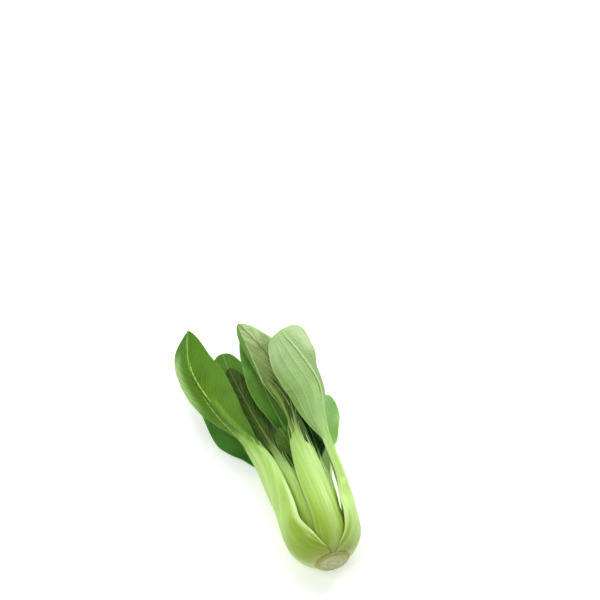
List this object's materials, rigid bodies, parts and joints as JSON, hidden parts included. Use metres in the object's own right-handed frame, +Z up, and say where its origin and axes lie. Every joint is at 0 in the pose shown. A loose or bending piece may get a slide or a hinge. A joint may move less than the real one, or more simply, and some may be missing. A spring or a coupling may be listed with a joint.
{
  "type": "baby bok choy bunch",
  "caption": "Whole baby bok choy lying on its side: a cut stem with pale fleshy stalks in rings round it, each widening into a green waved leaf.",
  "frame": {"origin": "under the middle of the bunch's box, on the surface that it rests on", "axes": "+Y from the cut stem towards the leaf tips, +Z up, +X to the right seen from the cut stem"},
  "size_m": [0.1, 0.195, 0.047],
  "materials": {
    "cut_stem": "matte, moist cut face with darker dots",
    "stalk": "satin, waxy, with fine lengthwise ridges",
    "bright_blade": "satin, waxy, with paler veins",
    "pale_blade": "soft grey-green underside with raised pale veins",
    "dark_blade": "satin, dark green, with paler veins"
  },
  "bodies": {
    "root": {"base": "cut_stem", "left_leaf_stalk": "stalk", "left_leaf_blade": "bright_blade", "right_leaf_stalk": "stalk", "right_leaf_blade": "pale_blade", "middle_leaf_stalk": "stalk", "middle_leaf_blade": "pale_blade", "low_left_leaf_stalk": "stalk", "low_left_leaf_blade": "dark_blade", "low_right_leaf_stalk": "stalk", "low_right_leaf_blade": "dark_blade", "shaded_leaf_stalk": "stalk", "shaded_leaf_blade": "dark_blade", "far_leaf_stalk": "stalk", "far_leaf_blade": "bright_blade", "young_right_leaf_stalk": "stalk", "young_right_leaf_blade": "dark_blade", "under_leaf_stalk": "stalk", "under_leaf_blade": "bright_blade", "young_middle_leaf_stalk": "stalk", "young_middle_leaf_blade": "dark_blade"}
  },
  "joints": []
}
